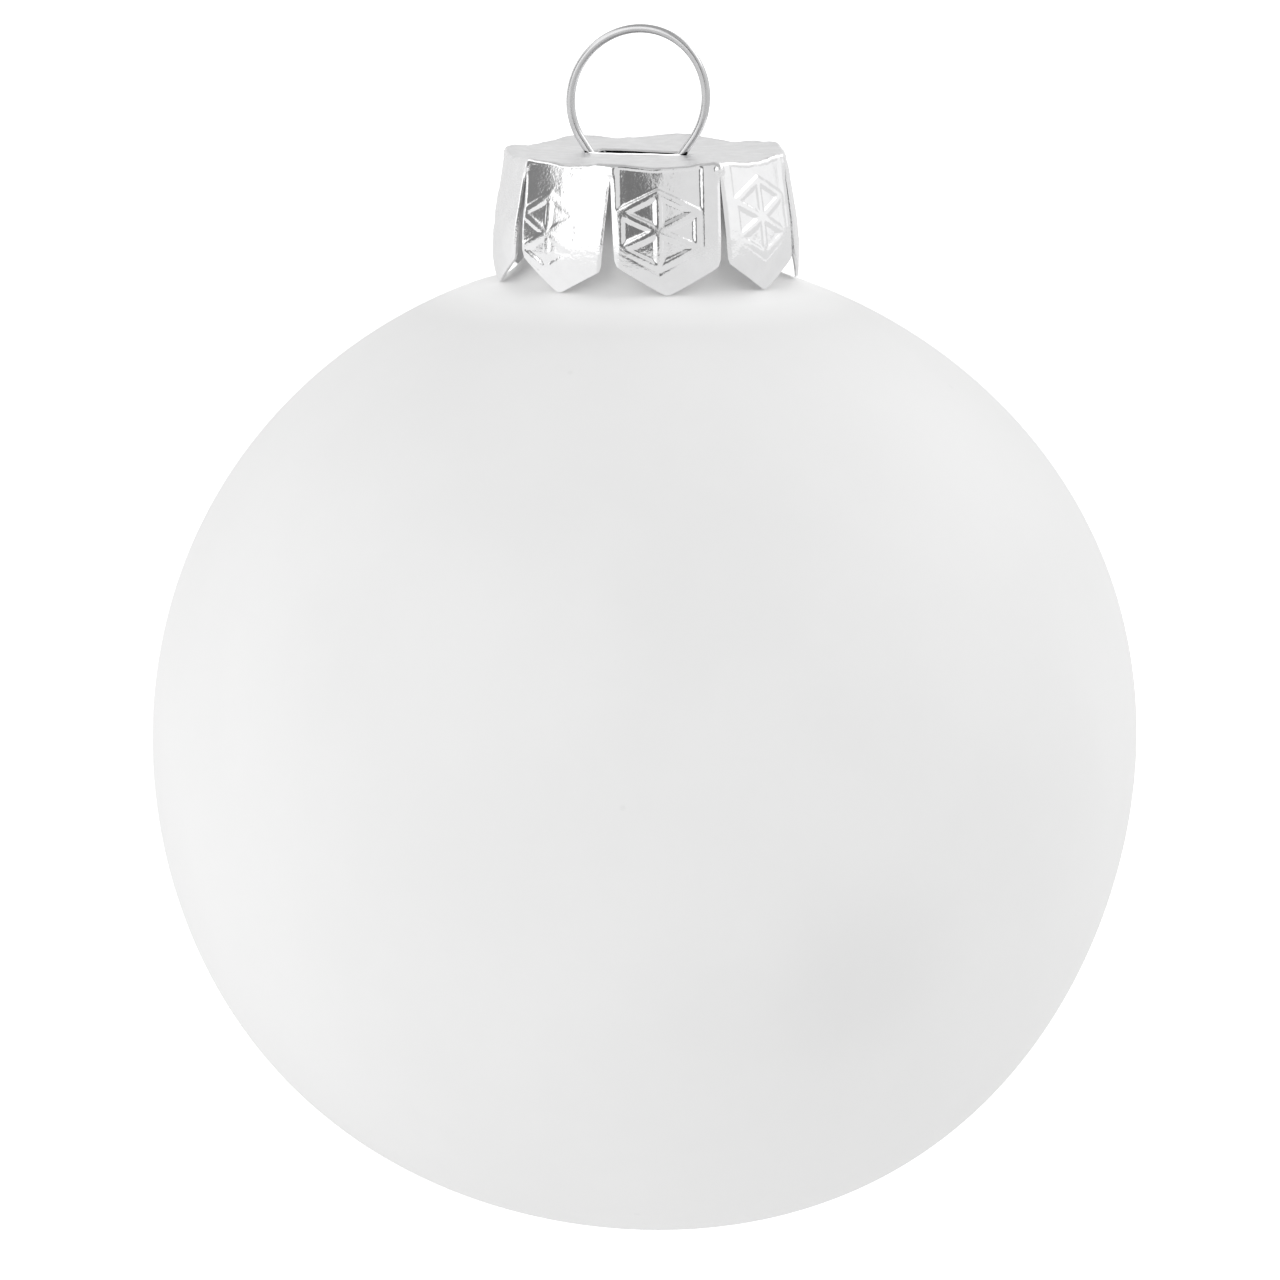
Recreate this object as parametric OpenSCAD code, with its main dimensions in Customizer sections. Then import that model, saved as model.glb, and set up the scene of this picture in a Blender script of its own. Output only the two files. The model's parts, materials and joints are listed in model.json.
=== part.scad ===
// Glass ball ornament: a blown glass ball with an open neck, a stamped metal cap over the neck,
// and a spring wire hanger that drops through a slot in the cap.
// Millimetres, +Z up. The origin is the lowest point of the ball, on the ball's axis.
// The slot and the flat of the hanger lie along X. Petals are centred between the axes.

/* [Glass ball] */
// Outside diameter of the ball
ball_d = 67; // [60:0.5:80]
// Thickness of the blown glass
glass_t = 0.7; // [0.5:0.1:1.2]
// Outside diameter of the neck
neck_d = 15.4; // [14.4:0.1:16]
// Height of the neck's rim above the top of the ball's sphere
neck_rise = 6.55; // [6:0.05:8]
// Radius of the hollow curve where the neck grows out of the ball
neck_fillet = 3; // [2:0.1:3.4]

/* [Cap] */
// Thickness of the cap's sheet metal
sheet_t = 0.2; // [0.15:0.05:0.3]
// Diameter of the cap at its folded upper edge
cap_top_d = 18.9; // [18:0.1:19.5]
// Diameter of the cap where its petals stand out furthest
cap_wide_d = 20.5; // [19.8:0.1:21.5]
// Diameter of the cap at the petals' tips
cap_tip_d = 20; // [19.5:0.1:21]
// Outside radius of the fold between the cap's top and its petals
fold_r = 0.7; // [0.5:0.1:1.2]
// Number of petals
petal_count = 8; // [6:1:10]
// Height of the pointed lower end of a petal
point_h = 2.1; // [1.5:0.1:3]
// Gap between neighbouring petals at its wider, lower end
petal_gap = 0.7; // [0.3:0.05:1]
// Clear space between the glass and the cap that rests on it
seat_gap = 0.1; // [0.05:0.05:0.2]

/* [Stamping] */
// Half the height and half the width of the stamped hexagon
hexagon_r = 2.6; // [1.8:0.1:2.7]
// Width of a stamped ridge
ridge_w = 0.5; // [0.3:0.05:0.7]
// Height of a stamped ridge
ridge_h = 0.15; // [0.05:0.05:0.3]
// Sideways shift of the stamping from the middle of its petal
stamp_shift = -0.65; // [-0.8:0.05:0.8]

/* [Slot] */
// Width of the slot in the cap
slot_w = 1; // [0.9:0.05:1.5]
// Overall length of the slot
slot_l = 7.5; // [7.4:0.1:9]
// Distance of the slot's middle from the cap's axis, along X
slot_shift = -0.7; // [-1:0.05:1]

/* [Hanger] */
// Diameter of the spring wire
wire_d = 0.6; // [0.5:0.05:0.7]
// Clear diameter of the hanging eye
eye_d = 9; // [8.4:0.1:9.4]
// Height of the eye's centre above the cap
eye_rise = 3.65; // [3.4:0.05:4.2]
// Angle below the eye's centre at which the wire leaves the circle
leave_angle = 35; // [30:1:40]
// Length of the straight wire from the circle to the bend under the slot
shank_l = 2.6; // [2:0.1:3]
// Centre-line radius of the bend under the slot
waist_r = 1.5; // [1:0.1:2]
// Angle that each leg flares out from the vertical
leg_flare = 20; // [17:1:24]
// Clear space between the widest part of the legs and the neck's bore
leg_clear = 0.3; // [0.1:0.05:0.6]
// Centre-line radius of the bend near each leg's end
toe_r = 6; // [3:0.5:6]
// Angle that each leg's end turns back in from the vertical
toe_in = 5; // [0:1:10]
// Length of the straight end of each leg
toe_l = 3; // [1:0.1:5]

/* [Hidden] */

ball_r = ball_d / 2;
neck_r = neck_d / 2;
rim_z = ball_d + neck_rise;

// Centre of the neck's hollow curve, in the (radius, z) half-plane
fillet_x = neck_r + neck_fillet;
fillet_z = ball_r + sqrt(pow(ball_r + neck_fillet, 2) - pow(fillet_x, 2));

cap_z = rim_z + seat_gap + sheet_t;
tip_r = cap_tip_d / 2;
wide_r = cap_wide_d / 2;
tip_z = ball_r + sqrt(pow(ball_r, 2) - pow(tip_r - sheet_t, 2)) + seat_gap;
notch_z = tip_z + point_h;
petal_step = 360 / petal_count;
petal_start = petal_step / 2;

// Lean of the petals from the vertical, from the fold down to the widest level
petal_lean = atan2(wide_r - cap_top_d / 2, cap_z - fold_r - notch_z);
FOLD_STEPS = 6;

wire_r = wire_d / 2;
eye_r = eye_d / 2 + wire_r;
eye_z = cap_z + eye_rise;

// How far the centre line of a leg may stand from the middle of the slot, inside the neck's bore
leg_reach = neck_r - glass_t - abs(slot_shift) - leg_clear - wire_r;

$fn = 96;
WIRE_FN = 32;
WELD = 1.01;
SPARE = 1;

// A point at a distance from another, at an angle from +X
function polar(from, r, a) = from + r * [cos(a), sin(a)];

// The ball's profile in the (radius, z) half-plane, moved inwards by inset, with its neck up to top.
// The disc sector, the curved neck foot and the neck share straight edges where they meet.
module ball_profile(inset, top) {
    shell_r = ball_r - inset;
    pipe_r = neck_r - inset;
    curve_r = neck_fillet + inset;
    middle = [0, ball_r];
    curve = [fillet_x, fillet_z];
    join = middle + (curve - middle) * shell_r / (ball_r + neck_fillet);
    outside = middle + 2 * (join - middle);
    intersection() {
        translate(middle) circle(shell_r);
        polygon([middle, outside, [2 * ball_d, outside.y], [2 * ball_d, -SPARE], [0, -SPARE]]);
    }
    difference() {
        polygon([middle, join, curve, [0, fillet_z]]);
        translate(curve) circle(curve_r);
    }
    translate([0, fillet_z]) square([pipe_r, top - fillet_z]);
}

module glass_ball() {
    color("whitesmoke")
    rotate_extrude()
    difference() {
        ball_profile(0, rim_z);
        ball_profile(glass_t, rim_z + SPARE);
    }
}

// Solid of revolution inside the cap's outer face, moved inwards by inset and run on down by extra
module cap_form(inset, extra) {
    top_r = cap_top_d / 2 - inset;
    bend_r = fold_r - inset;
    bend = [top_r - bend_r, cap_z - inset - bend_r];
    fold = [for (i = [0 : FOLD_STEPS]) polar(bend, bend_r, petal_lean + (90 - petal_lean) * i / FOLD_STEPS)];
    rotate_extrude()
    polygon(concat(
        [[0, tip_z - extra], [tip_r - inset, tip_z - extra], [tip_r - inset, tip_z], [wide_r - inset, notch_z]],
        fold,
        [[0, cap_z - inset]]
    ));
}

// Everything below the pointed edges of two neighbouring petals, and the narrow gap between them
module petal_notch() {
    half_chord = tip_r * sin(petal_start);
    reach = 1.1;
    edge_x = petal_gap / 2 + reach * (half_chord - petal_gap / 2);
    edge_z = notch_z - reach * point_h;
    rotate([90, 0, 90])
    linear_extrude(height = cap_wide_d)
    polygon([
        [0, cap_z - fold_r], [petal_gap / 2, notch_z], [edge_x, edge_z], [edge_x, tip_z - SPARE],
        [-edge_x, tip_z - SPARE], [-edge_x, edge_z], [-petal_gap / 2, notch_z]
    ]);
}

module bar(from, to) {
    run = to - from;
    translate(from)
    rotate(atan2(run.y, run.x))
    translate([-ridge_w / 2, -ridge_w / 2])
    square([norm(run) + ridge_w, ridge_w]);
}

// A hexagon that stands on a point, with a spoke to each of its corners
module stamp_pattern() {
    side_y = hexagon_r * 0.53;
    corners = [
        [0, hexagon_r], [hexagon_r, side_y], [hexagon_r, -side_y],
        [0, -hexagon_r], [-hexagon_r, -side_y], [-hexagon_r, side_y]
    ];
    for (i = [0 : 5]) {
        bar(corners[i], corners[(i + 1) % 6]);
        if (i < 3) bar(corners[i], corners[i + 3]);
    }
}

// The stamped ridges on every petal, as a thin layer on the cap's outer face
module stamping() {
    stamp_z = (cap_z - fold_r + tip_z + point_h / 2) / 2;
    intersection() {
        difference() {
            cap_form(-ridge_h, 0);
            cap_form(sheet_t / 2, SPARE);
        }
        for (i = [0 : petal_count - 1])
            rotate(petal_start + i * petal_step)
            translate([cap_top_d / 4, stamp_shift, stamp_z])
            rotate([90, 0, 90])
            linear_extrude(height = cap_wide_d)
            stamp_pattern();
    }
}

module slot_cut() {
    half = (slot_l - slot_w) / 2;
    translate([slot_shift, 0, cap_z - sheet_t - SPARE]) {
        for (side = [-1, 1]) translate([side * half, 0, 0]) cylinder(h = sheet_t + 2 * SPARE, d = slot_w);
        translate([-half, -slot_w / 2, 0]) cube([2 * half, slot_w, sheet_t + 2 * SPARE]);
    }
}

module cap() {
    color("silver")
    difference() {
        union() {
            difference() {
                cap_form(0, 0);
                cap_form(sheet_t, SPARE);
            }
            stamping();
        }
        for (i = [0 : petal_count - 1]) rotate(i * petal_step) petal_notch();
        slot_cut();
    }
}

// A bent piece of wire about a centre in the hanger's plane, from one angle to another
module wire_arc(centre, r, from_a, to_a) {
    translate(centre)
    rotate(from_a)
    rotate_extrude(angle = to_a - from_a)
    translate([r, 0])
    circle(wire_r, $fn = WIRE_FN);
}

// A straight piece of wire from a point, along an angle from +X in the hanger's plane.
// A ball a hair wider than the wire welds its start to the bend before it, and its end to any bend after it.
module wire_run(from, a, length, welded_end = true) {
    translate(from)
    rotate([0, 0, a])
    rotate([0, 90, 0]) {
        cylinder(h = length, r = wire_r, $fn = WIRE_FN);
        for (z = welded_end ? [0, length] : [0]) translate([0, 0, z]) sphere(wire_r * WELD, $fn = WIRE_FN);
    }
}

// One leg of the hanger, from where the wire leaves the eye's circle to the leg's end
module hanger_leg() {
    leave = polar([0, 0], eye_r, -leave_angle);
    shank_a = -90 - leave_angle;
    shank_end = polar(leave, shank_l, shank_a);
    waist = polar(shank_end, waist_r, -leave_angle);
    leg_a = leg_flare - 90;
    leg_start = polar(waist, waist_r, 180 + leg_flare);
    leg_l = (leg_reach - toe_r * (1 - cos(leg_flare)) - leg_start.x) / sin(leg_flare);
    leg_end = polar(leg_start, leg_l, leg_a);
    toe = polar(leg_end, toe_r, 180 + leg_flare);
    toe_start = polar(toe, toe_r, -toe_in);

    wire_run(leave, shank_a, shank_l);
    wire_arc(waist, waist_r, 180 - leave_angle, 180 + leg_flare);
    wire_run(leg_start, leg_a, leg_l);
    wire_arc(toe, toe_r, -toe_in, leg_flare);
    wire_run(toe_start, -90 - toe_in, toe_l, false);
}

module hanger_wire() {
    color("gainsboro")
    translate([slot_shift, 0, eye_z])
    rotate([90, 0, 0]) {
        wire_arc([0, 0], eye_r, -leave_angle, 180 + leave_angle);
        hanger_leg();
        mirror([1, 0, 0]) hanger_leg();
    }
}

glass_ball();
cap();
hanger_wire();
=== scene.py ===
import json
import math

import bpy
import numpy as np
from mathutils import Matrix, Vector, noise


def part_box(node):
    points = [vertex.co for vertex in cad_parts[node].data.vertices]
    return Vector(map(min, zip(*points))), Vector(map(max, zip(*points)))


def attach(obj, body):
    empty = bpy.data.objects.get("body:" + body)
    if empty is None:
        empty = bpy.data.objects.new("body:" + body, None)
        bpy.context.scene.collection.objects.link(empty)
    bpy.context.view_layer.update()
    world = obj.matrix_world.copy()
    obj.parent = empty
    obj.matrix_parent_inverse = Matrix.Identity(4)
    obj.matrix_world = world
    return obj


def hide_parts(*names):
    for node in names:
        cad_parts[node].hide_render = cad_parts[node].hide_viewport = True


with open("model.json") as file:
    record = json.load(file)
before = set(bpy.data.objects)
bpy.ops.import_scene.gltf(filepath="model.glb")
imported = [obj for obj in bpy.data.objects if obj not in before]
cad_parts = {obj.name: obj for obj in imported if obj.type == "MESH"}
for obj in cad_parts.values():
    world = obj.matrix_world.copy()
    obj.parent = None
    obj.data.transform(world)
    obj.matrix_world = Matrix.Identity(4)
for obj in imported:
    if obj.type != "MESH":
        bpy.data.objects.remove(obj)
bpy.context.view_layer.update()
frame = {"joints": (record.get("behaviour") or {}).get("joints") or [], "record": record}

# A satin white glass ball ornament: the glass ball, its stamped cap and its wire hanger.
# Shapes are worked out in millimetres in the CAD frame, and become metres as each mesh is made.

MM = 0.001

# ------------------------------------------------------------------ dimensions, from the frame


def node_box(node):
    """The lowest and highest corners of a CAD node, in millimetres."""
    low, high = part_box(node)
    return np.array(low) / MM, np.array(high) / MM


def joint(name):
    return next(j for j in frame["joints"] if j["name"] == name)


def mount(name):
    return next(m for m in frame["record"]["mounts"] if m["name"] == name)


ball_high = node_box("glass_ball")[1]
cap_low, cap_high = node_box("cap")
wire_low, wire_high = node_box("hanger_wire")

BALL_R = ball_high[1]
BALL_CENTRE = np.array([0, 0, BALL_R])
RIM_Z = ball_high[2]
CAP_Z = cap_high[2]
TIP_Z = cap_low[2]
EYE = np.array(mount("hanging_eye")["pos_m"]) / MM
SLOT_X = joint("hanger_rock")["pos_m"][0] / MM
SEAT = np.array([0.13, 0.04, 0.0])  # the cap and hanger sit a little off the ball's axis

# ------------------------------------------------------------------ small tools


def smooth(low, high, x):
    """0 below low, 1 above high, and a smooth step between them."""
    t = np.clip((x - low) / (high - low), 0, 1)
    return t * t * (3 - 2 * t)


def between(a, b, share):
    """The value a share of the way from a to b."""
    return a + (b - a) * share


def towards(centre, angle):
    """1 within about 18 degrees of an azimuth, falling to 0 about 53 degrees away from it."""
    return smooth(0.6, 0.95, np.cos(angle - centre))


def direction(angle):
    return np.array([math.cos(angle), math.sin(angle)])


def grid_faces(rows, columns, closed=False):
    """Quads of a grid of points that runs row by row."""
    faces = []
    for i in range(rows - 1):
        for j in range(columns if closed else columns - 1):
            k = (j + 1) % columns
            faces.append((i * columns + j, i * columns + k, (i + 1) * columns + k, (i + 1) * columns + j))
    return faces


def ripple(points, size, seed):
    """Smooth noise between about -1 and 1 at each point, with lumps of a given size."""
    shift = Vector((seed * 17.3, seed * 5.9, seed * 11.1))
    return np.array([noise.noise(Vector(p) / size + shift) for p in points])


def uneven(points, layers):
    """The sum of some layers of ripples, each given as (height, size of its lumps, seed)."""
    return sum(height * ripple(points, size, seed) for height, size, seed in layers)


def make_piece(name, points, faces, sharp_angle=35.0):
    """A smooth-shaded object from points in millimetres, with edges over sharp_angle degrees left sharp."""
    mesh = bpy.data.meshes.new(name)
    mesh.from_pydata((np.asarray(points) * MM).tolist(), [], faces)
    mesh.validate()
    piece = bpy.data.objects.new(name, mesh)
    bpy.context.scene.collection.objects.link(piece)
    mark_sharp(piece, sharp_angle)
    return piece


def mark_sharp(piece, sharp_angle):
    mesh = piece.data
    mesh.polygons.foreach_set("use_smooth", [True] * len(mesh.polygons))
    mesh.set_sharp_from_angle(angle=math.radians(sharp_angle))


def apply_modifiers(piece):
    graph = bpy.context.evaluated_depsgraph_get()
    mesh = bpy.data.meshes.new_from_object(piece.evaluated_get(graph), depsgraph=graph)
    piece.modifiers.clear()
    piece.data = mesh


def weld_doubles(piece, distance):
    weld = piece.modifiers.new("weld", "WELD")
    weld.merge_threshold = distance * MM
    apply_modifiers(piece)


# ------------------------------------------------------------------ node trees


class Nodes:
    """A short way to write a node tree."""

    def __init__(self, tree):
        self.tree = tree
        tree.nodes.clear()

    def add(self, kind, values=None, **settings):
        node = self.tree.nodes.new(kind)
        for name, value in settings.items():
            setattr(node, name, value)
        for socket, value in (values or {}).items():
            self.plug(node.inputs[socket], value)
        return node

    def plug(self, socket, value):
        if isinstance(value, bpy.types.NodeSocket):
            self.tree.links.new(value, socket)
        elif isinstance(value, bpy.types.Node):
            self.tree.links.new(value.outputs[0], socket)
        else:
            socket.default_value = value

    def math(self, operation, *values):
        node = self.add("ShaderNodeMath", operation=operation)
        for socket, value in zip(node.inputs, values):
            self.plug(socket, value)
        return node.outputs[0]

    def vector_math(self, operation, *values):
        node = self.add("ShaderNodeVectorMath", dict(enumerate(values)), operation=operation)
        return node.outputs["Value"]

    def step(self, x, low, high, to_low=0.0, to_high=1.0):
        """A smooth step in x, from to_low to to_high."""
        node = self.add("ShaderNodeMapRange", interpolation_type="SMOOTHSTEP")
        for socket, value in zip(node.inputs, (x, low, high, to_low, to_high)):
            self.plug(socket, value)
        return node.outputs[0]

    def mix(self, share, a, b):
        """A colour a share of the way from a to b."""
        node = self.add("ShaderNodeMix", data_type="RGBA")
        factor, colour_a, colour_b = node.inputs[0], node.inputs[6], node.inputs[7]
        self.plug(factor, share)
        self.plug(colour_a, a)
        self.plug(colour_b, b)
        return node.outputs[2]

    def place(self, stretch=(1, 1, 1)):
        """Position on the object in millimetres, with each axis divided by its stretch."""
        coordinates = self.add("ShaderNodeTexCoord").outputs["Object"]
        scale = tuple(1 / (MM * s) for s in stretch)
        return self.add("ShaderNodeMapping", {"Vector": coordinates, "Scale": scale}).outputs[0]

    def noise(self, size, detail=2.0, roughness=0.5, at=None):
        """Noise from 0 to 1 with lumps of a size in millimetres."""
        values = {"Vector": at or self.place(), "Scale": 1 / size, "Detail": detail, "Roughness": roughness}
        return self.add("ShaderNodeTexNoise", values).outputs[0]

    def bump(self, height, depth, normal=None):
        """A bump of a height from 0 to 1 over depth millimetres."""
        values = {"Height": height, "Distance": depth * MM}
        if normal:
            values["Normal"] = normal
        return self.add("ShaderNodeBump", values).outputs[0]

    def surface(self, values):
        shader = self.add("ShaderNodeBsdfPrincipled", values)
        self.add("ShaderNodeOutputMaterial", {"Surface": shader})


def new_material(name):
    material = bpy.data.materials.new(name)
    material.use_nodes = True
    return material, Nodes(material.node_tree)


def grey(level, tint=0.0):
    """An opaque grey, with a little more or less blue."""
    return level, level, level + tint, 1


# ------------------------------------------------------------------ the materials

SPECK_SPACING = 9.0
WIRE_LINE_W = 0.05

# A faint darker spot painted into the lacquer's colour, a painted reflection of something dark: its azimuth
# and elevation from the ball's centre, and its radius
DARK_REFLECTION_AZIMUTH = math.radians(-47)
DARK_REFLECTION_ELEVATION = math.radians(-20)
DARK_REFLECTION_R = 10.0

# A faint glow painted into a band of the lacquer stands in for light bouncing between the cap and the white
# neck,
# and lifts the shade under the cap: its strength, and where it starts and ends above the petals' tips.
PAINTED_FILL = 0.15
PAINTED_FILL_START = (-2.5, 0.0)
PAINTED_FILL_END = (2.0, 5.0)


def lacquer_specks(nodes):
    """Small specks, scattered wide apart."""
    values = {"Vector": nodes.place(), "Scale": 1 / SPECK_SPACING}
    distance = nodes.add("ShaderNodeTexVoronoi", values).outputs["Distance"]
    return nodes.math("MULTIPLY", nodes.step(distance, 0.012, 0.03, 1.0, 0.0), 0.1)


# painted reflection: a soft darker spot in the lacquer's colour
def painted_dark_reflection(nodes):
    out = direction(DARK_REFLECTION_AZIMUTH) * math.cos(DARK_REFLECTION_ELEVATION)
    centre = BALL_CENTRE + BALL_R * np.array([*out, math.sin(DARK_REFLECTION_ELEVATION)])
    distance = nodes.vector_math("DISTANCE", nodes.place(), tuple(centre))
    return nodes.step(distance, 1.0, DARK_REFLECTION_R, 0.3, 0.0)


# painted fill light: the lacquer glows in a band just above the petals' tips
def painted_fill_light(nodes):
    height = nodes.add("ShaderNodeSeparateXYZ", {"Vector": nodes.place()}).outputs["Z"]
    rise = nodes.step(height, TIP_Z + PAINTED_FILL_START[0], TIP_Z + PAINTED_FILL_START[1], 0.0, PAINTED_FILL)
    fall = nodes.step(height, TIP_Z + PAINTED_FILL_END[0], TIP_Z + PAINTED_FILL_END[1], 1.0, 0.0)
    return nodes.math("MULTIPLY", rise, fall)


def satin_lacquer():
    """White lacquer with a satin face: broad gloss, faint clouds, fine orange peel and a few specks, with a
    painted dark reflection and a painted glow of fill light under the cap.
    """
    material, nodes = new_material("satin_white_lacquer")
    clouds = nodes.noise(14.0, detail=3.0, roughness=0.55)
    grain = nodes.math("MULTIPLY", nodes.noise(1.6), 0.25)
    shade = nodes.mix(nodes.step(clouds, 0.3, 0.7), grey(0.885, -0.002), grey(0.905, -0.002))
    shade = nodes.mix(grain, shade, grey(0.875))
    shade = nodes.mix(lacquer_specks(nodes), shade, grey(0.55))
    # a painted dark reflection, darkening the lacquer's colour in a soft spot
    shade = nodes.mix(painted_dark_reflection(nodes), shade, grey(0.78))
    nodes.surface({
        "Base Color": shade,
        "Roughness": nodes.step(clouds, 0.25, 0.75, 0.44, 0.52),
        "IOR": 1.5,
        "Normal": nodes.bump(nodes.noise(0.55), 0.006),
        "Emission Color": grey(1),
        # painted fill light under the cap
        "Emission Strength": painted_fill_light(nodes),
    })
    return material


def silvered_glass():
    """Bare glass with the silver coat behind it, as on the neck and inside the ball."""
    material, nodes = new_material("silvered_glass")
    streaks = nodes.noise(2.2, detail=3.0, roughness=0.6, at=nodes.place((1, 1, 3)))
    waves = nodes.noise(3.0, detail=1.0)
    nodes.surface({
        "Base Color": nodes.mix(streaks, (0.55, 0.57, 0.57, 1), (0.78, 0.79, 0.79, 1)),
        "Metallic": 0.9,
        "Roughness": nodes.step(streaks, 0.3, 0.8, 0.08, 0.22),
        "Normal": nodes.bump(waves, 0.02),
        "Coat Weight": 1.0,
        "Coat Roughness": 0.04,
    })
    return material


def stamped_metal():
    """Bright sheet metal: mirror-like on the petals, dull and mottled on the flat top."""
    material, nodes = new_material("stamped_bright_metal")
    normal = nodes.add("ShaderNodeNewGeometry").outputs["Normal"]
    up = nodes.add("ShaderNodeSeparateXYZ", {"Vector": normal}).outputs["Z"]
    is_top = nodes.step(up, 0.55, 0.9)
    is_side = nodes.math("SUBTRACT", 1.0, is_top)
    mottle = nodes.noise(1.1, detail=4.0, roughness=0.6)
    fine = nodes.noise(0.22, detail=3.0, roughness=0.6)
    patches = nodes.math("MULTIPLY", nodes.step(mottle, 0.3, 0.7, 0.8, 0.0), nodes.math("ADD", 0.4, is_top))
    dull = nodes.math("MULTIPLY", is_top, nodes.step(mottle, 0.3, 0.7, 0.30, 0.42))
    bright = nodes.math("MULTIPLY", is_side, nodes.step(fine, 0.3, 0.75, 0.06, 0.13))
    dents = nodes.bump(mottle, 0.02)
    nodes.surface({
        "Base Color": nodes.mix(patches, grey(0.88, 0.005), grey(0.78, 0.005)),
        "Metallic": 1.0,
        "Roughness": nodes.math("ADD", dull, bright),
        "Normal": nodes.bump(fine, 0.012, dents),
    })
    return material


def dull_inside():
    """The unpolished inner side of the sheet."""
    material, nodes = new_material("dull_sheet_inside")
    mottle = nodes.noise(1.1, detail=3.0, roughness=0.6)
    nodes.surface({
        "Base Color": nodes.mix(mottle, grey(0.66, 0.005), grey(0.76, 0.005)),
        "Metallic": 1.0,
        "Roughness": nodes.step(mottle, 0.3, 0.7, 0.45, 0.58),
        "Normal": nodes.bump(mottle, 0.02),
    })
    return material


def drawn_wire():
    """Bright spring wire with fine lines and faint blotches."""
    material, nodes = new_material("drawn_spring_wire")
    lines = nodes.noise(WIRE_LINE_W, detail=3.0, roughness=0.7, at=nodes.place((1, 1, 6)))
    blotches = nodes.noise(1.4)
    nodes.surface({
        "Base Color": nodes.mix(blotches, grey(0.54, 0.005), grey(0.64, 0.005)),
        "Metallic": 1.0,
        "Roughness": nodes.step(lines, 0.3, 0.7, 0.18, 0.30),
        "Normal": nodes.bump(lines, 0.003),
    })
    return material


# ------------------------------------------------------------------ the glass ball

GLASS_T = 0.7
NECK_R = 7.7
NECK_FILLET = 3.0
LACQUER_END = 0.8  # the lacquer stops this far below the top of the neck

BALL_COLUMNS = 224
OUTSIDE_STEPS, OUTSIDE_CURVE_STEPS = 150, 14
INSIDE_STEPS, INSIDE_CURVE_STEPS = 90, 10
NECK_STEPS = 10
RIM_STEPS = 9

# Blown glass is never quite round. These lobes lie in an upright plane at an azimuth, and fade out towards
# the neck: (number of lobes, share of the radius, direction of the first lobe in degrees)
LOBES = ((2, 0.0042, -20), (3, 0.0012, 57), (4, 0.0042, 33), (5, 0.0030, 14))
LOBE_AZIMUTH = math.radians(15)
LOBE_FADE = (0.93, 1.0)

# Under the cap's tips the ball's shoulder is lower away from one azimuth, as shares of the radius
SHOULDER_DROP = 0.0036
SHOULDER_Z = 0.955
SHOULDER_BAND = 0.012
SHOULDER_HIGH = math.radians(22)


def arc(centre, r, from_a, to_a, steps):
    """Points along an arc in a plane, from one angle to another in degrees."""
    angles = np.radians(np.linspace(from_a, to_a, steps))
    return np.stack([centre[0] + r * np.cos(angles), centre[1] + r * np.sin(angles)], axis=1)


def ball_profile(inset, steps, curve_steps):
    """From the bottom of the ball up its side, round the neck's hollow curve, to just under the rim."""
    curve_x = NECK_R + NECK_FILLET
    curve_z = math.sqrt((BALL_R + NECK_FILLET) ** 2 - curve_x**2)
    meet = math.degrees(math.atan2(curve_z, curve_x))
    side = arc((0, BALL_R), BALL_R - inset, -90, meet, steps)
    curve = arc((curve_x, BALL_R + curve_z), NECK_FILLET + inset, meet + 180, 180, curve_steps)
    neck_z = np.linspace(BALL_R + curve_z, RIM_Z, NECK_STEPS)[1:-1]
    neck = np.stack([np.full(len(neck_z), NECK_R - inset), neck_z], axis=1)
    return np.concatenate([side, curve[1:], neck])


def ball_section():
    """The glass's section in the (radius, z) half-plane: up its outside, round the rim, down its inside."""
    outside = ball_profile(0, OUTSIDE_STEPS, OUTSIDE_CURVE_STEPS)
    rim = arc((NECK_R - GLASS_T / 2, RIM_Z - GLASS_T / 2), GLASS_T / 2, 0, 180, RIM_STEPS)
    inside = ball_profile(GLASS_T, INSIDE_STEPS, INSIDE_CURVE_STEPS)[::-1]
    return np.concatenate([outside, rim, inside])


def wobble(points):
    """The share by which the ball's radius differs at each point."""
    unit = (points - BALL_CENTRE) / BALL_R
    across, back = direction(LOBE_AZIMUTH)
    plane = unit[:, 0] * across + unit[:, 1] * back + 1j * unit[:, 2]
    lobes = [size * (plane * np.exp(-1j * math.radians(first))) ** count for count, size, first in LOBES]
    share = sum(lobes).real * (1 - smooth(*LOBE_FADE, unit[:, 2]))
    low_side = (1 - np.cos(np.arctan2(unit[:, 1], unit[:, 0]) - SHOULDER_HIGH)) / 2
    band = np.exp(-(((unit[:, 2] - SHOULDER_Z) / SHOULDER_BAND) ** 2))
    return share - SHOULDER_DROP * low_side * band


def is_bare(polygon):
    """Is this face inside the ball, or on the neck above the lacquer's edge?"""
    above = polygon.center.z > (RIM_Z - LACQUER_END) * MM
    return above or polygon.normal.dot(polygon.center - Vector(BALL_CENTRE) * MM) < 0


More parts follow.
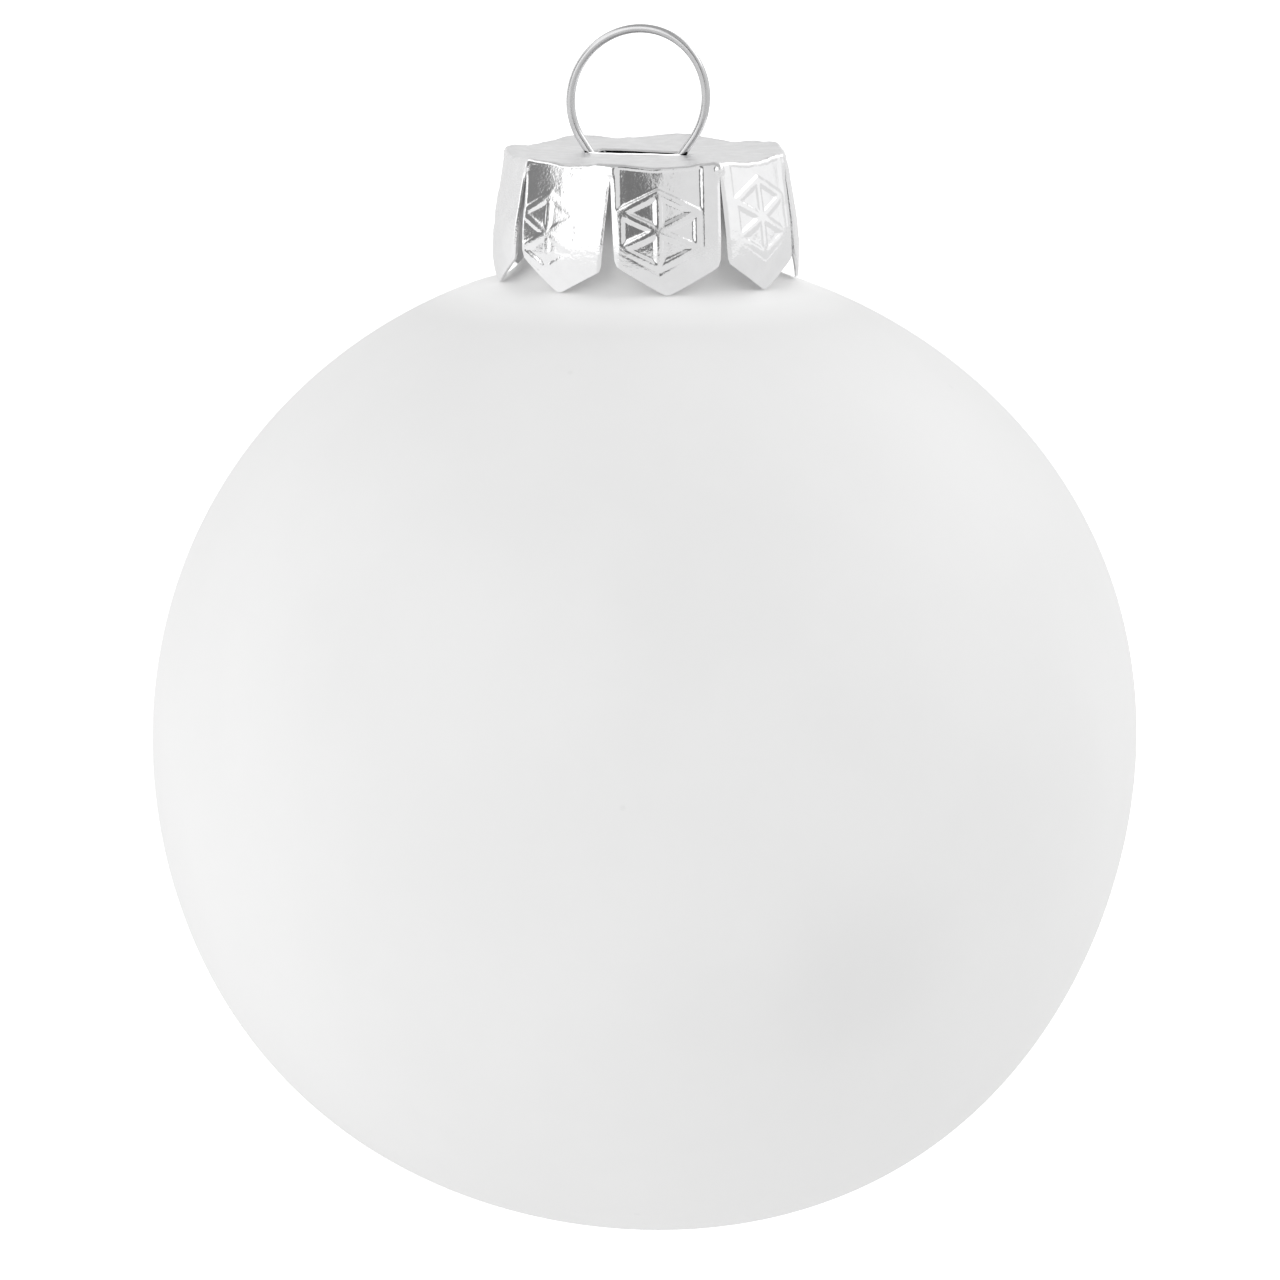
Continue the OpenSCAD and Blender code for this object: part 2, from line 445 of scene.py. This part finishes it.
def build_ball():
    section = ball_section()
    rings = section[1:-1]
    angles = np.linspace(0, 2 * math.pi, BALL_COLUMNS, endpoint=False)
    around = np.stack([np.cos(angles), np.sin(angles), np.zeros(BALL_COLUMNS)], axis=1)
    points = [r * around + [0, 0, z] for r, z in rings]
    points = np.concatenate([*points, [[0, 0, section[0][1]]], [[0, 0, section[-1][1]]]])
    points = BALL_CENTRE + (points - BALL_CENTRE) * (1 + wobble(points))[:, None]
    faces = grid_faces(len(rings), BALL_COLUMNS, closed=True)
    bottom_outside, bottom_inside = len(points) - 2, len(points) - 1
    last = (len(rings) - 1) * BALL_COLUMNS
    for j in range(BALL_COLUMNS):
        k = (j + 1) % BALL_COLUMNS
        faces.append((bottom_outside, k, j))
        faces.append((bottom_inside, last + j, last + k))
    ball = make_piece("glass_ball_satin", points, faces)
    ball.data.materials.append(satin_lacquer())
    ball.data.materials.append(silvered_glass())
    ball.data.polygons.foreach_set("material_index", [int(is_bare(p)) for p in ball.data.polygons])
    return ball


# ------------------------------------------------------------------ the cap

SHEET_T = 0.2
PETALS = 8
STEP = 2 * math.pi / PETALS
FRONT = math.radians(292.5)  # azimuth of the middle of the petal that faces the viewer

TOP_ROWS = 16
TOP_SPACING = 1.3
FOLD_ROWS = 6
PETAL_ROWS = 88
PETAL_COLUMNS = 80
INSIDE_DETAIL = 0.62  # share of the inner side's faces that is kept
WELD_DISTANCE = 0.002
CAP_SHARP_ANGLE = 50

# The cap's radius at a petal's middle, and how far its outline goes from a circle to an eight-sided shape
RIM_R, RIM_FLAT = 9.50, 0.45
WIDE_R, WIDE_FLAT = cap_high[0] + 0.03, 0.25
CORNER_SHARPNESS = 60

# The top is a shallow dish with a rim that rises at every join of two petals, where it is also pinched
DISH = 0.08
RIM_RISE = 0.18
RIM_WAVE = 0.13
RIM_UNEVEN = ((0.08, 1.7, 1), (0.05, 0.7, 2))
TOP_UNEVEN = ((0.05, 2.4, 3), (0.03, 1.0, 4))
RIM_CURL = 7  # the higher, the closer to the rim the top turns up
PINCH_H, PINCH_W = 0.07, 0.35
PINCH_START, PINCH_END = (0.7, 0.95), (0.95, 1.0)

# Behind the slot the sheet stands up, less so to the right, and bends down at its edge. In front there is a
# low burr. A reach is a distance from the slot's edge, and a fade is a distance along it from its middle.
SLOT_L = 7.7
SLOT_W = 1.0
FAR_RISE, FAR_REACH, FAR_FADE = 0.22, (0.3, 1.6), (2.3, 3.2)
FAR_TAPER = 0.3
FAR_BEND, FAR_BEND_REACH = 0.12, 0.3
BURR, BURR_REACH, BURR_FADE = 0.08, (0.05, 0.09), (2.9, 3.4)
LIP_ROWS = (0.0, 0.05, 0.07, 0.09, 0.20, 0.34)


def flattened(angle, radius, flatness):
    """A radius on an outline between a circle and an eight-sided shape with rounded corners."""
    turns = [np.clip(np.cos(angle - (k + 0.5) * STEP), 0, 1) ** CORNER_SHARPNESS for k in range(PETALS)]
    polygon = sum(turns) ** (-1 / CORNER_SHARPNESS)
    return radius * (1 - flatness + flatness * polygon)


def rim_height(angle):
    level = np.stack([RIM_R * np.cos(angle), RIM_R * np.sin(angle), np.zeros_like(angle)], axis=-1)
    return CAP_Z + RIM_RISE + RIM_WAVE * np.cos(PETALS * angle) + uneven(level, RIM_UNEVEN)


def slot_outline(turns):
    """Points around the slot at shares of its length, from its +X end."""
    end_r = SLOT_W / 2
    straight = SLOT_L - SLOT_W
    bend = math.pi * end_r
    walk = (turns * 2 * (straight + bend) + bend / 2) % (2 * (straight + bend))
    out = np.zeros((len(turns), 2))
    for n, s in enumerate(walk):
        side = 1
        if s >= straight + bend:
            side = -1
            s -= straight + bend
        if s < bend:
            a = s / end_r - math.pi / 2
            out[n] = side * (straight / 2 + end_r * math.cos(a)), side * end_r * math.sin(a)
        else:
            out[n] = side * (straight / 2 - (s - bend)), side * end_r
    return out + [SLOT_X, 0]


def slot_lips(edge, from_slot):
    """How far the sheet is bent up or down at a distance from each point of the slot's edge."""
    along = edge[:, 0] - SLOT_X
    far = smooth(-0.2, 0.2, edge[:, 1])
    rise = FAR_RISE * (1 - FAR_TAPER * along / (SLOT_L / 2)) * (1 - smooth(*FAR_FADE, np.abs(along)))
    bend = FAR_BEND * (1 - smooth(0, FAR_BEND_REACH, from_slot))
    burr = BURR * (1 - smooth(*BURR_FADE, np.abs(along))) * (1 - smooth(*BURR_REACH, from_slot))
    return far * (rise * (1 - smooth(*FAR_REACH, from_slot)) - bend) + (1 - far) * burr


def top_height(xy, angles, out):
    """Height of the top without its slot's lips, at points that lie a share out of the way to the rim."""
    level = np.stack([xy[:, 0], xy[:, 1], np.zeros(len(xy))], axis=1)
    from_join = np.abs(np.angle(np.exp(1j * PETALS * angles))) / PETALS * RIM_R
    pinch = PINCH_H * np.exp(-((from_join / PINCH_W) ** 2))
    z = CAP_Z - DISH * (1 - out**2) + (rim_height(angles) - CAP_Z) * out**RIM_CURL
    z = z + uneven(level, TOP_UNEVEN) * (1 - out**8)
    return z + pinch * smooth(*PINCH_START, out) * (1 - smooth(*PINCH_END, out))


def cap_top():
    """The flat top from the slot's edge to the start of the fold, as rows of points."""
    angles = np.arange(PETALS * PETAL_COLUMNS) * STEP / PETAL_COLUMNS
    edge = slot_outline(angles / (2 * math.pi))
    fold_start = flattened(angles, RIM_R, RIM_FLAT) - FOLD_R
    rim = np.stack([fold_start * np.cos(angles), fold_start * np.sin(angles)], axis=1)
    reach = np.hypot(*(rim - edge).T)
    shares = [distance / reach for distance in LIP_ROWS]
    shares += [between(shares[-1], 1, t) for t in np.linspace(0, 1, TOP_ROWS)[1:] ** TOP_SPACING]
    rows = []
    for share in shares:
        xy = edge + (rim - edge) * share[:, None]
        z = top_height(xy, angles, np.hypot(*xy.T) / fold_start)
        z = z + slot_lips(edge, np.hypot(*(xy - edge).T))
        rows.append(np.stack([xy[:, 0], xy[:, 1], z], axis=1))
    return rows


# ------------------------------------------------------------------ the cap's petals

# The fold between the top and the petals, and the petals' lean where they leave it
FOLD_R = 0.35
LEAN = math.radians(8)

# A petal flares out in a straight line for a share of its depth, levels off, and tucks in at its end
STRAIGHT = 0.6
TUCK = 0.9

# A petal's pointed end: it reaches a little lower than in the CAD, and one of them is skewed
PETAL_END_Z = TIP_Z - 0.28
POINT_H = 2.1
POINT_ROUND = 0.07
SKEW = 0.05
SKEW_PETAL, SKEW_PETAL_SKEW = 5, 0.36

# The gap between two petals opens below the fold, to a half width that differs round the cap
GAP_START = 0.6
GAP_HALF, GAP_UNEVEN, GAP_WIDE_AT = 0.39, 0.13, math.radians(250)
CORNER_CUT, CORNER_START, CORNER_POWER = 0.12, 0.94, 12
EDGE_IN, EDGE_W, EDGE_START = 0.06, 0.28, (0.5, 1.5)

# Bumps where two petals meet at the fold, with a bigger one at one join
BUMP_H, BUMP_DOWN, BUMP_REACH = 0.04, 0.2, (0.10, 0.46)
BIG_BUMP_H, BIG_BUMP_AT = 0.18, math.radians(315)

# The sheet's face is a little wavy, and more so where it is worn
WAVES, WORN_WAVES = (0.012, 1.3, 7), ((0.02, 1.3, 7), (0.008, 0.55, 8))
WORN_AT = math.radians(350)

# The petals are not quite evenly spaced: they crowd in towards the front from both sides
CROWDING = math.radians(5.5)
CROWD_TURN = math.radians(0.4)
CROWD_FADE = (6.5, 9.0)

# The stamping's hexagon, in millimetres across and up from its middle, and half the width of a ridge
HEX_UP, HEX_ACROSS, HEX_SIDE = 2.5, 2.72, 1.22
RIDGE_TOP, RIDGE_FOOT = 0.12, 0.40

# The sunk panel that the hexagon stands in
PANEL_RIGHT, PANEL_LEFT = 3.20, 3.05
PANEL_DOWN, PANEL_SLOPE = 3.1, 0.57
PANEL_EDGE = 0.45

# The stamping runs a little askew round the cap, sideways and up and down
STAMP_SHIFT, SHIFT_SWING = -0.55, 0.82
STAMP_Z, STAMP_Z_SWING, STAMP_HIGH_AT = (CAP_Z + TIP_Z) / 2 + 0.14, 0.68, math.radians(38)
STAMP_FADE = (-0.3, 0.05)

# The press struck deeper on one side. Away from there the stamping is fainter and softer at its right edge.
PRESSED_AT = math.radians(302)
SHALLOW, DEEP = 0.05, 0.12
SOFT, CRISP = 0.45, 1.5
FAINTNESS, FAINT_FROM = 0.6, (-0.8, 1.2)


def flare(depth):
    """Share of the way from the fold's radius to the widest radius, against share of the depth down to it."""
    levelling = np.clip(depth - STRAIGHT, 0, 1 - STRAIGHT) ** 2 / (2 * (1 - STRAIGHT))
    rise = (depth - levelling) / ((1 + STRAIGHT) / 2)
    return np.where(depth < 1, rise, 1 - TUCK * (depth - 1) ** 2)


def hexagon_ridges():
    """The hexagon's six sides and three diagonals, each as a pair of points."""
    corners = [(0, HEX_UP), (HEX_ACROSS, HEX_SIDE), (HEX_ACROSS, -HEX_SIDE)]
    corners += [(-x, -y) for x, y in corners]
    sides = [(corners[i], corners[(i + 1) % 6]) for i in range(6)]
    return sides + [(corners[i], corners[i + 3]) for i in range(3)]


def ridge_height(across, up):
    """1 on top of the nearest ridge, falling to 0 at its foot."""
    points = np.stack([across, up], axis=-1)
    height = np.zeros(across.shape)
    for a, b in hexagon_ridges():
        a, run = np.array(a), np.array(b) - np.array(a)
        t = np.clip((points - a) @ run / (run @ run), 0, 1)
        distance = np.linalg.norm(points - a - t[..., None] * run, axis=-1)
        height = np.maximum(height, 1 - smooth(RIDGE_TOP, RIDGE_FOOT, distance))
    return height


def stamping(middle, across, z, depth):
    """How far the stamped face stands out from the plain petal whose middle is at an azimuth."""
    pressed = towards(PRESSED_AT, middle)
    across = across - STAMP_SHIFT - SHIFT_SWING * math.sin(middle - FRONT)
    up = z - STAMP_Z - STAMP_Z_SWING * math.cos(middle - STAMP_HIGH_AT)
    below = (-up - PANEL_DOWN + np.abs(across) * PANEL_SLOPE) * math.cos(math.atan(PANEL_SLOPE))
    right = (across - PANEL_RIGHT) * between(SOFT, CRISP, pressed)
    outside = np.maximum.reduce([right, -across - PANEL_LEFT, below])
    faint = FAINTNESS * (1 - pressed) * smooth(*FAINT_FROM, across)
    sunk = between(SHALLOW, DEEP, pressed) * (1 - faint) * (1 - smooth(-PANEL_EDGE, 0, outside))
    return sunk * (ridge_height(across, up) - 1) * smooth(*STAMP_FADE, depth)


def join_bump(side, from_join, depth):
    """The bump at the join of two petals, whose azimuth is side."""
    height = BUMP_H + BIG_BUMP_H * smooth(0.85, 1.0, np.cos(side - BIG_BUMP_AT))
    return height * (1 - smooth(*BUMP_REACH, np.hypot(from_join, depth - BUMP_DOWN)))


def waves(middle, points):
    return uneven(points, [WAVES]) + towards(WORN_AT, middle) * uneven(points, WORN_WAVES)


def petal_end(k, u):
    """Height of a petal's lower edge, for u from -1 to 1 across it."""
    pointed = np.sqrt(u**2 + POINT_ROUND**2) - POINT_ROUND
    skew = SKEW_PETAL_SKEW if k == SKEW_PETAL else SKEW
    return PETAL_END_Z + POINT_H * pointed - skew * u


def petal_steps():
    """The rows down a petal, each as its angle on the fold and its share of the way to the lower edge."""
    bends = np.linspace(math.pi / 2, LEAN, FOLD_ROWS + 1)[1:-1]
    return [(bend, 0.0) for bend in bends] + [(LEAN, v) for v in np.linspace(0, 1, PETAL_ROWS + 1)]


def petal_points(k):
    """A petal from the top of the fold to its pointed end, as rows of points."""
    u = np.linspace(-1, 1, PETAL_COLUMNS + 1)
    middle = (k + 0.5) * STEP
    half = STEP / 2
    angle = middle + u * half
    side = np.where(u > 0, middle + half, middle - half)
    rim_r = flattened(angle, RIM_R, RIM_FLAT)
    wide_r = flattened(angle, WIDE_R, WIDE_FLAT)
    start_z = rim_height(angle) - FOLD_R * (1 - math.sin(LEAN))
    wide_depth = start_z - PETAL_END_Z - POINT_H
    end_z = petal_end(k, u)
    gap_end = GAP_HALF + GAP_UNEVEN * np.cos(2 * (side - GAP_WIDE_AT))
    rows = []
    for bend, v in petal_steps():
        z = between(start_z, end_z, v) + FOLD_R * (math.sin(bend) - math.sin(LEAN))
        depth = start_z - z
        r = rim_r - FOLD_R * (math.cos(LEAN) - math.cos(bend))
        r = r + (wide_r - rim_r) * flare(np.clip(depth, 0, None) / wide_depth)
        gap = gap_end * np.clip((depth - GAP_START) / (wide_depth - GAP_START), 0, 1)
        gap = gap + CORNER_CUT * smooth(CORNER_START, 1.0, v) * np.abs(u) ** CORNER_POWER
        turned = middle + u * (half - gap / r)
        from_join = (half - np.abs(turned - middle)) * r
        turned_in = EDGE_IN * (1 - smooth(0.0, EDGE_W, from_join - gap)) * smooth(*EDGE_START, depth)
        points = np.stack([r * np.cos(turned), r * np.sin(turned), z], axis=1)
        out = stamping(middle, (turned - middle) * r, z, depth) - turned_in
        out = out + join_bump(side, from_join, depth) + waves(middle, points)
        r, z = r + out * math.cos(bend), z + out * math.sin(bend)
        rows.append(np.stack([r * np.cos(turned), r * np.sin(turned), z], axis=1))
    return rows


def crowd(points):
    """Turn the petals in towards the front from both sides, and leave the middle of the top as it is."""
    angle = np.arctan2(points[:, 1], points[:, 0])
    radius = np.hypot(points[:, 0], points[:, 1])
    turn = CROWD_TURN - CROWDING * np.sin(angle - FRONT) ** 3
    turned = angle + turn * smooth(*CROWD_FADE, radius)
    return np.stack([radius * np.cos(turned), radius * np.sin(turned), points[:, 2]], axis=1)


def cap_sheet():
    """The cap's outer face, as points and quads."""
    top = cap_top()
    points = np.concatenate(top)
    count = PETALS * PETAL_COLUMNS
    faces = grid_faces(len(top), count, closed=True)
    last_row = (len(top) - 1) * count
    for k in range(PETALS):
        rows = petal_points(k)
        start = len(points)
        first = [last_row + (k * PETAL_COLUMNS + j) % count for j in range(PETAL_COLUMNS + 1)]
        for j in range(PETAL_COLUMNS):
            faces.append((first[j], first[j + 1], start + j + 1, start + j))
        faces += [tuple(start + n for n in face) for face in grid_faces(len(rows), PETAL_COLUMNS + 1)]
        points = np.concatenate([points, *rows])
    return points, [face[::-1] for face in faces]


def thicken(cap):
    """Give the sheet its thickness inwards, with fewer faces and a dull finish on its inner side."""
    inside = cap.vertex_groups.new(name="inside")
    thick = cap.modifiers.new("sheet", "SOLIDIFY")
    thick.thickness = SHEET_T * MM
    thick.offset = -1
    thick.shell_vertex_group = inside.name
    thick.material_offset = 1
    coarse = cap.modifiers.new("coarse_inside", "DECIMATE")
    coarse.ratio = INSIDE_DETAIL
    coarse.vertex_group = inside.name
    apply_modifiers(cap)
    cap.vertex_groups.clear()


def clear_slot(cap):
    """Push back whatever part of the sheet's inner side has crept into the slot."""
    half = (SLOT_L - SLOT_W) / 2
    for vertex in cap.data.vertices:
        x, y, z = np.array(vertex.co) / MM - SEAT - [SLOT_X, 0, 0]
        away = np.array([x - np.clip(x, -half, half), y])
        distance = math.hypot(*away)
        if z > CAP_Z - 1 and 0 < distance < SLOT_W / 2:
            vertex.co.xy += Vector(away * (SLOT_W / 2 / distance - 1) * MM)


def build_cap():
    points, faces = cap_sheet()
    cap = make_piece("cap_stamped", crowd(points) + SEAT, faces)
    weld_doubles(cap, WELD_DISTANCE)
    cap.data.materials.append(stamped_metal())
    cap.data.materials.append(dull_inside())
    thicken(cap)
    clear_slot(cap)
    mark_sharp(cap, CAP_SHARP_ANGLE)
    return cap


# ------------------------------------------------------------------ the hanger

WIRE_R = 0.3
LEAVE = math.radians(35)
SHANK_L = 2.6
WAIST_R = 1.5
LEG_FLARE = math.radians(20)
TOE_R = 6.0
TOE_IN = math.radians(5)
WIRE_SIDES = 20
EYE_STEPS, SHANK_STEPS, BEND_STEPS, LEG_STEPS = 120, 10, 14, 20

# The eye is bent by hand: a hair smaller than in the CAD, slightly oval, longest at an angle from +X, and
# leaning sideways with height
EYE_R = (wire_high[2] - EYE[2] - WIRE_R) * 0.995
EYE_OVAL, EYE_OVAL_ANGLE = 0.016, math.radians(61)
EYE_LEAN = 0.03


def eye_radius(angle):
    return EYE_R * (1 + EYE_OVAL * np.cos(2 * (angle - EYE_OVAL_ANGLE)))


def leg_path(leave_r):
    """Centre line of one leg in the hanger's plane, from where the wire leaves the eye's circle."""
    leave = leave_r * direction(-LEAVE)
    shank_end = leave + SHANK_L * direction(-math.pi / 2 - LEAVE)
    waist = shank_end + WAIST_R * direction(-LEAVE)
    bend = arc(waist, WAIST_R, 180 - math.degrees(LEAVE), 180 + math.degrees(LEG_FLARE), BEND_STEPS)
    reach = wire_high[0] - EYE[0] - WIRE_R
    leg_l = (reach - TOE_R * (1 - math.cos(LEG_FLARE)) - bend[-1][0]) / math.sin(LEG_FLARE)
    leg_end = bend[-1] + leg_l * direction(LEG_FLARE - math.pi / 2)
    toe = leg_end - TOE_R * direction(LEG_FLARE)
    toe_bend = arc(toe, TOE_R, math.degrees(LEG_FLARE), -math.degrees(TOE_IN), BEND_STEPS)
    toe_l = (toe_bend[-1][1] - wire_low[2] + EYE[2]) / math.cos(TOE_IN)
    end = toe_bend[-1] + toe_l * direction(-math.pi / 2 - TOE_IN)
    shank = [between(leave, shank_end, t) for t in np.linspace(0, 1, SHANK_STEPS)[1:-1]]
    leg = [between(bend[-1], leg_end, t) for t in np.linspace(0, 1, LEG_STEPS)[1:-1]]
    return np.array([*shank, *bend, *leg, *toe_bend, end])


def hanger_path():
    """Centre line of the whole hanger, from one leg's end round the eye to the other's."""
    turn = np.linspace(-LEAVE, math.pi + LEAVE, EYE_STEPS)
    eye = eye_radius(turn)[:, None] * np.stack([np.cos(turn), np.sin(turn)], axis=1)
    right = leg_path(eye_radius(-LEAVE))
    left = leg_path(eye_radius(math.pi + LEAVE)) * [-1, 1]
    flat = np.concatenate([right[::-1], eye, left])
    return np.stack([flat[:, 0] + EYE[0], np.zeros(len(flat)), flat[:, 1] + EYE[2]], axis=1)


def build_hanger():
    path = hanger_path()
    along = np.gradient(path, axis=0)
    along /= np.linalg.norm(along, axis=1)[:, None]
    side = np.array([0.0, 1.0, 0.0])
    across = np.cross(along, side)
    angles = np.linspace(0, 2 * math.pi, WIRE_SIDES, endpoint=False)
    rise = np.outer(np.sin(angles), side)
    rings = [p + WIRE_R * (np.outer(np.cos(angles), a) + rise) for p, a in zip(path, across)]
    points = np.concatenate(rings) + SEAT
    points[:, 0] += EYE_LEAN * np.clip(points[:, 2] - CAP_Z, 0, None)
    faces = grid_faces(len(path), WIRE_SIDES, closed=True)
    last = (len(path) - 1) * WIRE_SIDES
    faces.append(tuple(range(WIRE_SIDES))[::-1])
    faces.append(tuple(last + n for n in range(WIRE_SIDES)))
    hanger = make_piece("hanger_wire_bright", points, faces)
    hanger.data.materials.append(drawn_wire())
    return hanger


# ------------------------------------------------------------------ the studio

# The camera's distance and the width of its view at the ball are in metres, and so are the floor's sizes
CAMERA_AZIMUTH = math.radians(15.15)
CAMERA_ELEVATION = math.radians(8.25)
CAMERA_DISTANCE = 1.0
VIEW_WIDTH = 0.0872
AIM_UP, AIM_LEFT = 0.00695, 0.00031

# The floor glows: its strength right under the object, kept a little lower as a painted shadow, further out,
# more on the left, and more to the camera
FLOOR_SIZE = 60.0
FLOOR_DROP = 0.3
FLOOR_UNDER_SHADOWED, FLOOR_OUT, FLOOR_LEFT, FLOOR_SEEN = 0.36, 0.38, 0.16, 0.6

# A white tent, dimmer overhead: its brightness at the sides and above, and the elevations where that changes
TENT_SIDE, TENT_TOP = 1.05, 0.56
TENT_CHANGE = (math.radians(15), math.radians(60))

# Soft panels in the tent, each laid over those before it: (brightness, azimuth to the right of the camera,
# elevation, softness), with the angles in degrees
PANELS = (
    (0.86, (-240, -122), (-60, 28), 8),  # behind, to the left
    (0.86, (150, 240), (-60, 28), 8),  # behind, to the right
    (1.50, (-122, -74), (-60, 50), 6),  # left side
    (0.25, (-102, -75), (-12, 28), 4),  # a dark strip on the left side
    (1.50, (-72, -15), (-40, 50), 3),  # front left
    (0.82, (12, 60), (-60, 50), 6),  # front right
    (2.10, (64, 150), (-60, 50), 6),  # right side
    (0.84, (54, 162), (-25, 24), 5),  # a dimmer band across the right side
    (1.04, (68, 116), (-25, 24), 5),  # the middle of that band
    (0.20, (-9, 12), (-22, 42), 4),  # the dark place where the camera stands
)


def build_camera():
    a, e = CAMERA_AZIMUTH, CAMERA_ELEVATION
    back = Vector((math.sin(a) * math.cos(e), -math.cos(a) * math.cos(e), math.sin(e)))
    right = Vector((*direction(a), 0))
    up = back.cross(right)
    aim = Vector(BALL_CENTRE) * MM + up * AIM_UP - right * AIM_LEFT
    data = bpy.data.cameras.new("camera")
    data.sensor_width = 36.0
    data.lens = data.sensor_width * CAMERA_DISTANCE / VIEW_WIDTH
    data.clip_end = 200.0
    camera = bpy.data.objects.new("camera", data)
    bpy.context.scene.collection.objects.link(camera)
    turn = Matrix((right, up, back)).transposed().to_4x4()
    camera.matrix_world = Matrix.Translation(aim + back * CAMERA_DISTANCE) @ turn
    bpy.context.scene.camera = camera


def floor_glow(nodes):
    """How strongly the floor glows: by distance, dimmer right under the object as a painted shadow, by
    direction, and more when the camera sees it.
    """
    place = nodes.add("ShaderNodeTexCoord").outputs["Object"]
    seen = nodes.add("ShaderNodeLightPath").outputs["Is Camera Ray"]
    away = nodes.vector_math("LENGTH", place)
    # a little dimmer right under the object: a painted shadow of the ornament on the floor
    level = nodes.step(away, FLOOR_DROP * 0.5, FLOOR_DROP * 2.2, FLOOR_UNDER_SHADOWED, FLOOR_OUT)
    rightwards = nodes.vector_math("DOT_PRODUCT", place, (*direction(CAMERA_AZIMUTH), 0))
    leftwards = nodes.math("DIVIDE", nodes.math("MULTIPLY", rightwards, -1.0), away)
    level = nodes.math("ADD", level, nodes.step(leftwards, 0.35, 0.9, 0.0, FLOOR_LEFT))
    return nodes.math("ADD", level, nodes.math("MULTIPLY", seen, FLOOR_SEEN))


def build_floor():
    half = FLOOR_SIZE / 2
    mesh = bpy.data.meshes.new("studio_floor")
    corners = [(-half, -half, 0), (half, -half, 0), (half, half, 0), (-half, half, 0)]
    mesh.from_pydata(corners, [], [(0, 1, 2, 3)])
    floor = bpy.data.objects.new("studio_floor", mesh)
    floor.location.z = -FLOOR_DROP
    bpy.context.scene.collection.objects.link(floor)
    material, nodes = new_material("pale_floor")
    nodes.surface({
        "Base Color": grey(0.5),
        "Roughness": 0.9,
        "Specular IOR Level": 0.0,
        "Emission Color": grey(1),
        "Emission Strength": floor_glow(nodes),
    })
    mesh.materials.append(material)


def inside_range(nodes, x, low, high, soft):
    """1 where x is between two angles in degrees, with both edges softened."""
    low, high, soft = math.radians(low), math.radians(high), math.radians(soft)
    above = nodes.step(x, low - soft, low + soft)
    below = nodes.step(x, high - soft, high + soft, 1.0, 0.0)
    return nodes.math("MULTIPLY", above, below)


def build_light():
    world = bpy.data.worlds.new("studio_tent")
    world.use_nodes = True
    bpy.context.scene.world = world
    nodes = Nodes(world.node_tree)
    values = {"Vector": nodes.add("ShaderNodeTexCoord").outputs["Generated"], "Angle": -CAMERA_AZIMUTH}
    turned = nodes.add("ShaderNodeVectorRotate", values, rotation_type="Z_AXIS")
    axes = nodes.add("ShaderNodeSeparateXYZ", {"Vector": turned})
    azimuth = nodes.math("ARCTAN2", axes.outputs["X"], nodes.math("MULTIPLY", axes.outputs["Y"], -1.0))
    elevation = nodes.math("ARCSINE", axes.outputs["Z"])
    light = nodes.step(elevation, *TENT_CHANGE, TENT_SIDE, TENT_TOP)
    for level, azimuths, elevations, soft in PANELS:
        across = inside_range(nodes, azimuth, *azimuths, soft)
        upwards = inside_range(nodes, elevation, *elevations, soft)
        light = nodes.mix(nodes.math("MULTIPLY", across, upwards), light, grey(level))
    seen = nodes.add("ShaderNodeLightPath").outputs["Is Camera Ray"]
    background = nodes.add("ShaderNodeBackground", {"Color": nodes.mix(seen, light, grey(1))})
    nodes.add("ShaderNodeOutputWorld", {"Surface": background})


def set_colours():
    """Plain colour handling, so that white stays white."""
    bpy.context.scene.view_settings.view_transform = "Standard"
    bpy.context.scene.view_settings.look = "None"


# ------------------------------------------------------------------ the scene

ball = build_ball()
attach(ball, "ball")
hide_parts("glass_ball")

cap = build_cap()
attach(cap, "cap")
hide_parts("cap")

hanger = build_hanger()
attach(hanger, "hanger")
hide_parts("hanger_wire")

build_camera()
build_floor()
build_light()
set_colours()
